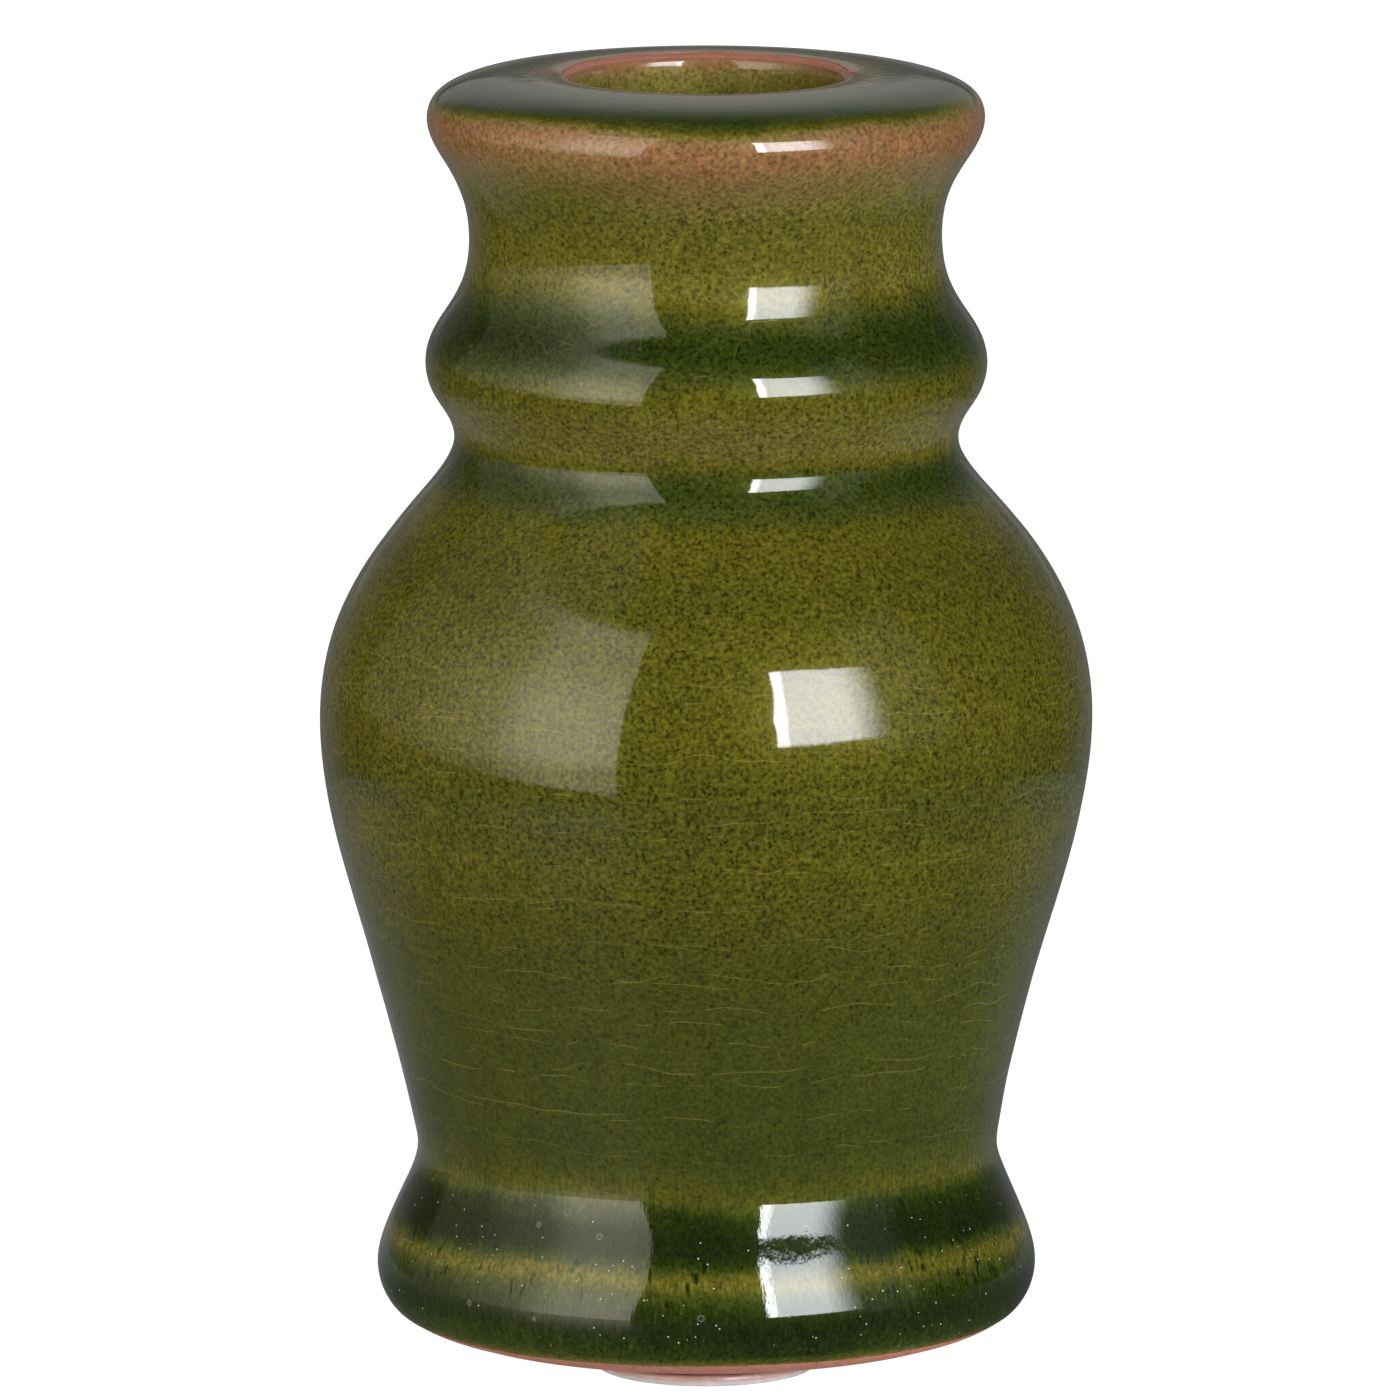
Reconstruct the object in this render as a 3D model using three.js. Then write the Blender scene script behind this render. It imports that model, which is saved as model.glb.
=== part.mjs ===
// A small bud vase: an earthenware body with a transparent green glaze, on three clear adhesive pads.
// Millimetres, +Z up. The origin is on the vase's axis, at the level of the table. -Y is the front.

import * as THREE from 'three';

// ---- Driving dimensions -------------------------------------------------------------------------

const HEIGHT = 100;             // table to the crest of the lip
const WALL = 4.6;               // through the body: clay and both coats of glaze
const FLOOR = 6.4;              // through the base: clay and the glaze inside
const OUTER_GLAZE = 0.4;        // thickness of the coat on the outside
const INNER_GLAZE = 0.3;        // thickness of the lining
const THROAT_RADIUS = 10.4;     // the narrowest part of the mouth
const BARE_FOOT_HEIGHT = 0.75;  // clay left bare above the underside
const BARE_RING_RADIUS = 12.3;  // the outer coat stops about here on the rim of the mouth
const BARE_RING_DEPTH = 0.45;   // the lining starts about this far below the crest of the lip

const PAD_COUNT = 3;
const PAD_RADIUS = 8.7;
const PAD_THICKNESS = 0.9;
const PAD_EDGE = 0.25;          // rounding of a pad's lower edge
const PAD_INSET = 0.1;          // from the edge of the flat underside to a pad
const ADHESIVE_RADIUS = 8.4;
const ADHESIVE_THICKNESS = 0.2;

const BODY_SEGMENTS = 40;       // flats round the vase
const PAD_SEGMENTS = 24;        // flats round a pad

// ---- The outline of the glazed surface ----------------------------------------------------------

// Each station is a ring of radius r at height z, and `samples` is the number of straight pieces in the
// curve that ends there. The outline passes a station leaning outwards by `lean` (radius gained per height,
// 0 if it isn't given), and `below` and `above` are the lengths of its handles there. Where it runs level
// instead, the handles are `outward` and `inward`.

// The outside, from the flat underside, which rests on the pads' adhesive, up to the crest of the lip.
const base = { r: 21.6, z: PAD_THICKNESS + ADHESIVE_THICKNESS, outward: 2.2, rise: 0.3 };
const foot = { r: 25.9, z: 5.9, below: 3.1, above: 2.4, samples: 4 };
const waist = { r: 22.8, z: 14.9, below: 1.7, above: 2.6, samples: 5 };
const taper = { r: 26.4, z: 30.8, lean: 0.283, below: 5.6, above: 5.2, samples: 5 };
const belly = { r: 30.3, z: 49.4, below: 6.8, above: 12.7, samples: 4 };
const groove = { r: 19.75, z: 71.3, below: 3.8, above: 2.5, samples: 6 };
const bulge = { r: 22.0, z: 77.4, below: 3.0, above: 3.3, samples: 3 };
const neck = { r: 18.5, z: 87.0, below: 5.2, above: 5.8, samples: 4 };
const lip = { r: 21.8, z: 96.8, below: 3.2, above: 2.15, samples: 4 };
const brim = { r: 15.6, z: HEIGHT - 0.07, outward: 3.0, fall: 0.08, samples: 4 };
const crest = { r: 13.0, z: HEIGHT, inward: 1.8, samples: 3 };

// The inside follows the outside about one wall thickness in, from the throat down to the floor.
const throatTop = { r: 10.65, z: 99.2, lean: 0.06, above: 0.72, below: 2.0, samples: 6 };
const throatEnd = { r: THROAT_RADIUS, z: 93.0, above: 2.4, below: 2.4, samples: 4 };
const innerNeck = { r: neck.r - WALL, z: 85.5, above: 5.2, below: 4.0, samples: 4 };
const innerGroove = { r: groove.r - WALL, z: 72.3, above: 5.0, below: 3.6, samples: 3 };
const innerBelly = { r: belly.r - WALL, z: belly.z, above: 10.5, below: 14.0, samples: 6 };
const innerWaist = { r: waist.r - WALL, z: 16.9, above: 7.0, below: 4.5, samples: 5 };
const floor = { r: 12.0, z: base.z + FLOOR, outward: 4.2, samples: 4 };

// The vector along the outline at a station, `length` long.
function handle(station, length) {
  return new THREE.Vector2(station.lean ?? 0, 1).setLength(length);
}

// A Bezier stretch from station a to station b, going up or down the vase.
function stretch(a, b) {
  const up = b.z > a.z;
  const leave = handle(a, up ? a.above : -a.below);
  const arrive = handle(b, up ? -b.below : b.above);
  const start = new THREE.Vector2(a.r, a.z);
  const end = new THREE.Vector2(b.r, b.z);
  return new THREE.CubicBezierCurve(start, start.clone().add(leave), end.clone().add(arrive), end);
}

// A Bezier curve from [r, z] pairs.
function bezier(...pairs) {
  return new THREE.CubicBezierCurve(...pairs.map(([r, z]) => new THREE.Vector2(r, z)));
}

// The edge of the underside turns up into the foot.
const footEdge = bezier(
  [base.r, base.z],
  [base.r + base.outward, base.z + base.rise],
  [foot.r, foot.z - foot.below],
  [foot.r, foot.z],
);

// The edge of the lip rolls over to the nearly level brim, which rises a little to the crest. From there
// the mouth turns down into the throat.
const lipShoulder = bezier(
  [lip.r, lip.z],
  [lip.r, lip.z + lip.above],
  [brim.r + brim.outward, brim.z - brim.fall],
  [brim.r, brim.z],
);
const lipTop = new THREE.LineCurve(
  new THREE.Vector2(brim.r, brim.z),
  new THREE.Vector2(crest.r, crest.z),
);
const mouthEdge = bezier(
  [crest.r, crest.z],
  [crest.r - crest.inward, crest.z],
  [throatTop.r + throatTop.lean * throatTop.above, throatTop.z + throatTop.above],
  [throatTop.r, throatTop.z],
);

// The throat opens into the neck, and the wall of the waist turns into the floor.
const throatMouth = bezier(
  [throatEnd.r, throatEnd.z],
  [throatEnd.r, throatEnd.z - throatEnd.below],
  [innerNeck.r, innerNeck.z + innerNeck.above],
  [innerNeck.r, innerNeck.z],
);
const floorCorner = bezier(
  [innerWaist.r, innerWaist.z],
  [innerWaist.r, innerWaist.z - innerWaist.below],
  [floor.r + floor.outward, floor.z],
  [floor.r, floor.z],
);

// The whole outline in order: each curve with the number of pieces it is cut into.
const outline = [
  [footEdge, foot.samples],
  [stretch(foot, waist), waist.samples],
  [stretch(waist, taper), taper.samples],
  [stretch(taper, belly), belly.samples],
  [stretch(belly, groove), groove.samples],
  [stretch(groove, bulge), bulge.samples],
  [stretch(bulge, neck), neck.samples],
  [stretch(neck, lip), lip.samples],
  [lipShoulder, brim.samples],
  [lipTop, crest.samples],
  [mouthEdge, throatTop.samples],
  [stretch(throatTop, throatEnd), throatEnd.samples],
  [throatMouth, innerNeck.samples],
  [stretch(innerNeck, innerGroove), innerGroove.samples],
  [stretch(innerGroove, innerBelly), innerBelly.samples],
  [stretch(innerBelly, innerWaist), innerWaist.samples],
  [floorCorner, floor.samples],
];

// Points along the curves, each with the unit normal that points out of the wall.
function sample(curves) {
  const points = [];
  for (const [curve, pieces] of curves) {
    for (let i = points.length ? 1 : 0; i <= pieces; i += 1) {
      const tangent = curve.getTangent(i / pieces);
      const normal = new THREE.Vector2(tangent.y, -tangent.x);
      points.push({ at: curve.getPoint(i / pieces), normal });
    }
  }
  return points;
}

const surface = sample(outline);

// There is no glaze on the lowest part of the foot, or on a ring of clay round the mouth.
const isBareFoot = ({ at }) => at.y < base.z + BARE_FOOT_HEIGHT;
const isBareRing = ({ at }) => at.x < BARE_RING_RADIUS && at.y > HEIGHT - BARE_RING_DEPTH;

const outerStart = surface.findIndex((p) => !isBareFoot(p));
const outerEnd = surface.findIndex(isBareRing);
const innerStart = surface.findIndex((p, i) => i > outerEnd && !isBareRing(p));

// How thick the glaze is over point i of the surface: each coat thins away to nothing at its edges.
function glazeAt(i) {
  if (i > outerStart && i < outerEnd) return OUTER_GLAZE;
  if (i > innerStart) return INNER_GLAZE;
  return 0;
}

const glazeFace = surface.map(({ at }) => at);
const clayFace = surface.map(({ at, normal }, i) => at.clone().addScaledVector(normal, -glazeAt(i)));

// ---- Profiles of the solids ---------------------------------------------------------------------

function onAxis(z) {
  return new THREE.Vector2(0, z);
}

const clayFloorZ = floor.z - INNER_GLAZE;
const clayProfile = [onAxis(base.z), ...clayFace, onAxis(clayFloorZ)];

// The outer coat closes on itself, because its two faces meet at both of its edges.
const outerGlazeProfile = [
  ...glazeFace.slice(outerStart, outerEnd + 1),
  ...clayFace.slice(outerStart, outerEnd + 1).reverse(),
];

// The lining's two faces meet at its upper edge, and both reach the axis on the floor.
const liningProfile = [
  onAxis(clayFloorZ),
  ...clayFace.slice(innerStart).reverse(),
  ...glazeFace.slice(innerStart + 1),
  onAxis(floor.z),
];

const padProfile = [
  onAxis(0),
  new THREE.Vector2(PAD_RADIUS - PAD_EDGE, 0),
  new THREE.Vector2(PAD_RADIUS, PAD_EDGE),
  new THREE.Vector2(PAD_RADIUS, PAD_THICKNESS),
  onAxis(PAD_THICKNESS),
];

const adhesiveProfile = [
  onAxis(PAD_THICKNESS),
  new THREE.Vector2(ADHESIVE_RADIUS, PAD_THICKNESS),
  new THREE.Vector2(ADHESIVE_RADIUS, base.z),
  onAxis(base.z),
];

// ---- Materials ----------------------------------------------------------------------------------

const clayMaterial = new THREE.MeshStandardMaterial({ color: 0xb8694a, roughness: 0.85, metalness: 0 });
const glazeMaterial = new THREE.MeshStandardMaterial({ color: 0x5a6418, roughness: 0.08, metalness: 0 });
const liningMaterial = new THREE.MeshStandardMaterial({ color: 0x6e6b22, roughness: 0.12, metalness: 0 });
const padMaterial = new THREE.MeshStandardMaterial({ color: 0xe2d8d2, roughness: 0.35, metalness: 0 });
const adhesiveMaterial = new THREE.MeshStandardMaterial({ color: 0x8a6a58, roughness: 0.6, metalness: 0 });

// ---- Assembly -----------------------------------------------------------------------------------

// Turns a profile of (radius, height) points round the Z axis.
function turned(points, segments) {
  return new THREE.LatheGeometry(points, segments).rotateX(Math.PI / 2);
}

function addPart(parent, name, profile, segments, material) {
  const mesh = new THREE.Mesh(turned(profile, segments), material);
  mesh.name = name;
  parent.add(mesh);
}

const vase = new THREE.Group();
addPart(vase, 'clay_body', clayProfile, BODY_SEGMENTS, clayMaterial);
addPart(vase, 'outer_glaze', outerGlazeProfile, BODY_SEGMENTS, glazeMaterial);
addPart(vase, 'inner_glaze', liningProfile, BODY_SEGMENTS, liningMaterial);

// The pads sit evenly round the edge of the underside, one of them at the front, each on its adhesive.
const padNames = ['front', 'rear_right', 'rear_left'];
const padCircle = base.r - PAD_INSET - PAD_RADIUS;
for (let i = 0; i < PAD_COUNT; i += 1) {
  const angle = -Math.PI / 2 + (i * 2 * Math.PI) / PAD_COUNT;
  const pad = new THREE.Group();
  pad.position.set(padCircle * Math.cos(angle), padCircle * Math.sin(angle), 0);
  addPart(pad, `foot_pad_${padNames[i]}`, padProfile, PAD_SEGMENTS, padMaterial);
  addPart(pad, `pad_adhesive_${padNames[i]}`, adhesiveProfile, PAD_SEGMENTS, adhesiveMaterial);
  vase.add(pad);
}

export default vase;
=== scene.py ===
import math

import bpy
import numpy as np
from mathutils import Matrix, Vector


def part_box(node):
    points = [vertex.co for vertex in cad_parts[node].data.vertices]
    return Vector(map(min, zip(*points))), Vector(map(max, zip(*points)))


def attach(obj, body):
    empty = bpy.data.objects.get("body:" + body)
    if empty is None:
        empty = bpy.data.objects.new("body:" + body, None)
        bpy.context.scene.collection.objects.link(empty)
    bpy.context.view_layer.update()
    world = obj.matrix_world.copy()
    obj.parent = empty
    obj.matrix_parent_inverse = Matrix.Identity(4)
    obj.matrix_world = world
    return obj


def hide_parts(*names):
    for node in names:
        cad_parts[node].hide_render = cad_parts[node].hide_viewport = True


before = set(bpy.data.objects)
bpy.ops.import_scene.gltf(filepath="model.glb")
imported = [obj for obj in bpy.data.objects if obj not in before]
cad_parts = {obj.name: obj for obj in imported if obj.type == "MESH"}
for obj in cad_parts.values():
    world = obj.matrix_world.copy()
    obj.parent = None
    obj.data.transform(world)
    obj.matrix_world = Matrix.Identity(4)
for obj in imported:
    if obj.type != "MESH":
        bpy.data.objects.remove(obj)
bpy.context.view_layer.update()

MM = 0.001

# ---- The vase's outline --------------------------------------------------------------------------
# The ceramic pieces are turned, so their CAD meshes are stacks of rings. Together the rings give one
# outline of the vase's surface, as (radius, height) points: from the edge of the underside up the
# outside, over the lip, and down the inside to the middle of the floor. A place on the outline is its
# distance along it from the underside.

RING_GAP = 0.004 * MM      # rings closer than this are one ring
OUTLINE_STEP = 0.04 * MM   # between the points of the fine outline
DOWN_FIRST = 0.001         # rings at one height are put in order by this share of their radius


def rings_of(node):
    """The node's rings as rows of (radius, height), each once."""
    corners = np.array([v.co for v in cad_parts[node].data.vertices])
    found = []
    for ring in np.stack([np.hypot(corners[:, 0], corners[:, 1]), corners[:, 2]], axis=1):
        if all(np.abs(ring - other).max() > RING_GAP for other in found):
            found.append(ring)
    return np.array(found)


def without(rings, others):
    """The rings that aren't also among the others."""
    gaps = np.abs(rings[:, None] - others[None]).max(axis=2).min(axis=1)
    return rings[gaps > RING_GAP]


def by(key, rings):
    """The rings in the order of a key."""
    return rings[np.argsort(key)]


clay_rings = rings_of("clay_body")
coat_rings = rings_of("outer_glaze")
lining_rings = rings_of("inner_glaze")

coat_foot = coat_rings[np.argmin(coat_rings[:, 1])]
coat_mouth = coat_rings[np.argmin(coat_rings[:, 0])]
coat_face = without(coat_rings, clay_rings)
crest = coat_face[np.argmax(coat_face[:, 1])]
coat_side = coat_face[coat_face[:, 0] >= crest[0]]
coat_top = coat_face[coat_face[:, 0] < crest[0]]
lining_mouth = lining_rings[np.argmax(lining_rings[:, 1])]
lining_face = without(lining_rings, clay_rings)
clay_floor = clay_rings[(clay_rings[:, 0] < RING_GAP)][:, 1].max()
bare_foot = clay_rings[clay_rings[:, 1] < coat_foot[1] - RING_GAP]
bare_foot = bare_foot[bare_foot[:, 0] > RING_GAP]
bare_rim = clay_rings[clay_rings[:, 0] < coat_mouth[0] - RING_GAP]
bare_rim = bare_rim[bare_rim[:, 1] > lining_mouth[1] + RING_GAP]

OUTLINE_POINTS = np.concatenate([
    by(bare_foot[:, 1], bare_foot),
    [coat_foot],
    by(coat_side[:, 1], coat_side),
    by(-coat_top[:, 0], coat_top),
    [coat_mouth],
    by(-bare_rim[:, 0], bare_rim),
    [lining_mouth],
    by(-lining_face[:, 1] - DOWN_FIRST * lining_face[:, 0], lining_face),
])


def smooth_through(points, step):
    """Points at about every `step` along the natural cubic spline through `points`."""
    knots = np.concatenate([[0], np.cumsum(np.linalg.norm(np.diff(points, axis=0), axis=1))])
    gaps = np.diff(knots)
    count = len(knots)
    system = np.eye(count)
    turn = np.zeros((count, 2))
    for i in range(1, count - 1):
        system[i, i - 1:i + 2] = gaps[i - 1], 2 * (gaps[i - 1] + gaps[i]), gaps[i]
        turn[i] = 6 * ((points[i + 1] - points[i]) / gaps[i] - (points[i] - points[i - 1]) / gaps[i - 1])
    bend = np.linalg.solve(system, turn)
    where = np.linspace(0, knots[-1], int(knots[-1] / step))
    i = np.clip(np.searchsorted(knots, where, side="right") - 1, 0, count - 2)
    gap = gaps[i][:, None]
    ahead = ((where - knots[i]) / gaps[i])[:, None]
    behind = 1 - ahead
    bent = ((behind ** 3 - behind) * bend[i] + (ahead ** 3 - ahead) * bend[i + 1]) * gap ** 2 / 6
    return behind * points[i] + ahead * points[i + 1] + bent


OUTLINE = smooth_through(OUTLINE_POINTS, OUTLINE_STEP)
ALONG = np.concatenate([[0], np.cumsum(np.linalg.norm(np.diff(OUTLINE, axis=0), axis=1))])
TANGENT = np.gradient(OUTLINE, ALONG, axis=0)
NORMAL = np.stack([TANGENT[:, 1], -TANGENT[:, 0]], axis=1)
NORMAL /= np.linalg.norm(NORMAL, axis=1)[:, None]
CREST = int(np.argmax(OUTLINE[:, 1]))
LENGTH = ALONG[-1]


def place_of(ring):
    """Where on the outline a ring of the frame lies."""
    return ALONG[np.argmin(np.linalg.norm(OUTLINE - ring, axis=1))]


def outside_at(height):
    """Where on the outside the outline reaches a height."""
    return np.interp(height, OUTLINE[:CREST, 1], ALONG[:CREST])


TOP_OUTSIDE = 6 * MM       # how far the top of the lip reaches along the outline, outside its crest
TOP_INSIDE = 8 * MM        # and inside it


def top_at(radius):
    """Where the outline reaches a radius on the top of the lip."""
    start = CREST - int(TOP_OUTSIDE / OUTLINE_STEP)
    end = CREST + int(TOP_INSIDE / OUTLINE_STEP)
    return np.interp(-radius, -OUTLINE[start:end, 0], ALONG[start:end])


FOOT_LINE = place_of(coat_foot)
MOUTH_LINE = place_of(coat_mouth)
LINING_LINE = place_of(lining_mouth)
BASE_Z = OUTLINE[0, 1]
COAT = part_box("outer_glaze")[1].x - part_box("clay_body")[1].x
LINING = OUTLINE[-1, 1] - clay_floor

# ---- Turned meshes -------------------------------------------------------------------------------

COLUMNS = 288              # points round the vase
AROUND = np.arange(COLUMNS) * 2 * math.pi / COLUMNS


def waves(around, *terms):
    """A sum of waves round the vase, each given as (count, size, phase)."""
    return sum(size * np.cos(count * around + phase) for count, size, phase in terms)


# A pot is never quite true. Its axis strays to the right by this much at each share of the height, in mm.
SWAY = [(0.0, 0.0), (0.05, 0.05), (0.12, 0.18), (0.2, -0.03), (0.28, -0.1), (0.36, -0.03), (0.42, -0.03),
        (0.49, 0.03), (0.56, 0.08), (0.63, 0.2), (0.7, 0.04), (0.77, 0.05), (0.86, 0.0), (0.91, -0.08),
        (0.96, 0.0), (1.0, 0.07)]
OVAL = 0.0025              # how much wider than round it is one way, and narrower the other
OVAL_FROM = 0.1            # the share of the height where the ovalness is full
OVAL_START = 1.2           # the phase of the ovalness at the foot, in radians
OVAL_TURN = 1.5            # and how much it changes up to the lip
BACK_SWAY = 0.6            # it strays to the back by this share of that


def hand_made(points):
    """Shifts and ovals points (an array of x, y, z) slightly with height."""
    x, y, z = points[..., 0], points[..., 1], points[..., 2]
    share = np.clip((z - BASE_Z) / (crest[1] - BASE_Z), 0, 1)
    phase = OVAL_START + OVAL_TURN * share
    oval = 1 + np.minimum(1, share / OVAL_FROM) * OVAL * np.cos(2 * np.arctan2(y, x) + phase)
    sway = np.interp(share, *zip(*SWAY)) * MM
    return np.stack([x * oval + sway, y * oval + BACK_SWAY * sway, z], axis=-1)


def on_vase(along, depth):
    """Points at places on the outline and depths below it, each a grid of rows and columns."""
    radius = np.interp(along, ALONG, OUTLINE[:, 0]) - depth * np.interp(along, ALONG, NORMAL[:, 0])
    height = np.interp(along, ALONG, OUTLINE[:, 1]) - depth * np.interp(along, ALONG, NORMAL[:, 1])
    return hand_made(np.stack([radius * np.cos(AROUND), radius * np.sin(AROUND), height], axis=-1))


def make_mesh(name, grid, glaze=None, looped=False, caps=None):
    """A closed mesh from rows of points. The last row joins the first if looped. Caps are the end points
    on the axis, before the first row and after the last. A point can carry the thickness of the glaze."""
    rows, columns = grid.shape[:2]
    here = np.arange(rows * columns).reshape(rows, columns)
    upper = np.concatenate([here, here[:1]]) if looped else here
    right = np.roll(upper, -1, axis=1)
    quads = np.stack([upper[:-1], right[:-1], right[1:], upper[1:]], axis=-1).reshape(-1, 4)
    faces = quads.tolist()
    points = grid.reshape(-1, 3)
    if caps is not None:
        first, last = rows * columns, rows * columns + 1
        points = np.concatenate([points, np.array(caps)])
        faces += [[first, b, a] for a, b in zip(here[0], np.roll(here[0], -1))]
        faces += [[last, a, b] for a, b in zip(here[-1], np.roll(here[-1], -1))]
    mesh = bpy.data.meshes.new(name)
    mesh.from_pydata(points.tolist(), [], faces)
    mesh.shade_smooth()
    if glaze is not None:
        thickness = np.concatenate([glaze.ravel(), [1, 1]]) if caps is not None else glaze.ravel()
        mesh.attributes.new("glaze", "FLOAT", "POINT").data.foreach_set("value", thickness)
    mesh.validate()
    piece = bpy.data.objects.new(name, mesh)
    bpy.context.scene.collection.objects.link(piece)
    return piece


def stands_for(piece, node, material):
    """The piece is shown in place of a CAD node, on the vase's one body, with its material slot."""
    piece.data.materials.append(material)
    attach(piece, "root")
    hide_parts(node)


def spaced(*stretches):
    """Places along the outline, from stretches given as (from, to, step)."""
    parts = [np.linspace(a, b, max(2, round(abs(b - a) / step) + 1)) for a, b, step in stretches]
    return np.concatenate([parts[0]] + [part[1:] for part in parts[1:]])


# The glaze was wiped back from the foot and the mouth by hand, so its edges wander. At the mouth it was
# wiped back furthest at the back. The waves are in mm.
FOOT_WAVES = [(0, -0.5, 0), (1, 0.1, 0.4), (2, 0.08, 2.0), (5, 0.04, 1.0), (11, 0.03, 3.0)]
MOUTH_WAVES = [(0, 0.75, 0), (1, 0.72, math.pi / 2), (2, 0.36, 0), (5, 0.08, 0.5), (13, 0.05, 1.7),
               (29, 0.03, 0.6)]
LINING_WAVES = [(0, -0.28, 0), (1, 0.05, 1.0), (4, 0.04, 2.6), (9, 0.02, 0.3)]
foot_line = FOOT_LINE + MM * waves(AROUND, *FOOT_WAVES)
mouth_line = MOUTH_LINE + MM * waves(AROUND, *MOUTH_WAVES)
lining_line = LINING_LINE + MM * waves(AROUND, *LINING_WAVES)

BEAD = 0.9 * MM            # how far in from its edge a coat reaches its full thickness
BARE_DEPTH = 0.09 * MM     # the bare clay lies this far below the face of the glaze


def swell(distance):
    """From 0 at a coat's edge to 1 at the width of the bead, as a quarter of a circle."""
    share = np.clip(distance / BEAD, 0, 1)
    return np.sqrt(1 - (1 - share) ** 2)


def clay_depth(along):
    """How deep the clay lies below the outline."""
    coat = swell(np.minimum(along - foot_line, mouth_line - along))
    lining = swell(along - lining_line)
    return BARE_DEPTH + coat * (COAT - BARE_DEPTH) + lining * (LINING - BARE_DEPTH)


def glaze_depth(along):
    """How far the glaze's face rolls down below the outline at its edges."""
    coat = swell(np.minimum(along - foot_line, mouth_line - along))
    lining = swell(along - lining_line)
    return BARE_DEPTH * (1 - np.maximum(coat, lining))


FACE_STEP = 0.4 * MM       # between rows on the outside
INSIDE_STEP = 0.7 * MM     # between rows on the inside
BACK_STEP = 1.5 * MM       # between rows that the glaze hides
EDGE_STEP = 0.08 * MM      # between rows next to a coat's edge
EDGE = 1.4 * MM            # the stretch next to a coat's edge that is stepped finely
FOLLOW = 8 * MM            # how far in the rows still follow a coat's edge


def rows_between(start, end, start_line, end_line, step):
    """Rows of places from one wandering line to another. An end with no line is level."""
    places = spaced(
        (start, start + EDGE, EDGE_STEP),
        (start + EDGE, end - EDGE, step),
        (end - EDGE, end, EDGE_STEP),
    )
    grid = np.repeat(places[:, None], COLUMNS, axis=1)
    if start_line is not None:
        grid += np.clip(1 - (grid - start) / FOLLOW, 0, 1) * (start_line - start)
    if end_line is not None:
        grid += np.clip(1 - (end - grid) / FOLLOW, 0, 1) * (end_line - end)
    return grid


def wander(points, length, seed, count=24):
    """Smooth noise of about -1 to 1 with features about half of `length` across, from plane waves in
    random directions."""
    random = np.random.default_rng(seed)
    directions = random.normal(size=(count, 3))
    directions /= np.linalg.norm(directions, axis=1)[:, None]
    numbers = 2 * math.pi / length * random.uniform(0.6, 1.4, count)
    phases = random.uniform(0, 2 * math.pi, count)
    total = sum(np.sin(points @ (direction * number) + phase)
                for direction, number, phase in zip(directions, numbers, phases))
    return total / math.sqrt(count)


RIPPLE = 0.005 * MM        # height of the gentle waves in the fired surface
RIPPLE_LENGTH = 7 * MM


def rippled(grid):
    """Moves points in and out by a few microns of smooth noise."""
    outward = grid * [1, 1, 0]
    outward /= np.maximum(np.linalg.norm(outward, axis=-1), 1e-6)[..., None]
    return grid + outward * (RIPPLE * wander(grid, RIPPLE_LENGTH, seed=3))[..., None]


# How thick the glaze looks, where 1 is the coat's usual thickness. It ran off the edges and gathered in
# pools on the slopes that face upwards. The outside goes by height, the top of the lip by radius, and the
# lining by the distance from its own edge, all in mm.
OUTSIDE_GLAZE = [
    (1.9, 0.95), (2.6, 1.3), (3.4, 1.65), (5.3, 2.1), (6.9, 1.75), (8.0, 1.25),
    (8.7, 0.72), (9.4, 0.85), (10.1, 1.55), (10.9, 2.1), (12.2, 2.1), (13.8, 1.75),
    (14.6, 1.08), (15.4, 1.0), (17.0, 1.14), (18.5, 1.27), (25, 1.17), (34, 1.07), (42, 0.88),
    (46, 1.03), (52, 0.86), (60, 0.9), (63, 0.98), (66, 0.86), (67.3, 0.9), (69, 1.4), (70, 1.55),
    (71, 1.38), (71.7, 0.85), (73, 0.6), (74.5, 0.59), (76, 0.78), (78, 1.0), (79, 1.35),
    (80, 1.64), (81, 1.78), (82, 1.66), (83.2, 1.32), (84.4, 0.92), (85.2, 0.7), (88, 0.76),
    (91, 0.76), (92, 0.65), (93, 0.51), (94, 0.41), (95, 0.3), (96, 0.2), (97.3, 0.17), (98.1, 0.38),
    (98.6, 1.0), (99.1, 1.65),
]
LIP_GLAZE = [(17, 1.1), (15, 1.0), (14, 0.7), (13, 0.4), (11.6, 0.3)]
LINING_GLAZE = [(0, 0.25), (0.5, 0.42), (1.5, 0.55), (3, 0.68), (6, 0.85), (20, 1.0), (200, 1.1)]

glaze_stops = [(outside_at(height * MM), thickness) for height, thickness in OUTSIDE_GLAZE]
glaze_stops += [(top_at(radius * MM), thickness) for radius, thickness in LIP_GLAZE]
lining_stops = [(LINING_LINE + depth * MM, thickness) for depth, thickness in LINING_GLAZE]

EDGE_FADE = 1.2 * MM       # how far in from its edge the glaze looks fully thick


def glaze_on(points, along, stops, edge):
    """How thick the glaze looks at points. Their places on the outline are `along`, and `edge` is how far
    in they are from the coat's edge. The pools drift by a few tenths of a millimetre and run in streaks."""
    drift = 0.3 * wander(points, 24 * MM, seed=11) + 0.12 * wander(points, 5 * MM, seed=12)
    streaks = 0.12 * wander(points * [1, 1, 0.2], 1.6 * MM, seed=13)
    places = along + (drift + streaks) * MM
    thickness = np.interp(places, *zip(*stops))
    thickness *= 1 + 0.05 * wander(points, 40 * MM, seed=14)
    return thickness * np.clip(edge / EDGE_FADE, 0, 1) ** 0.5


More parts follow.
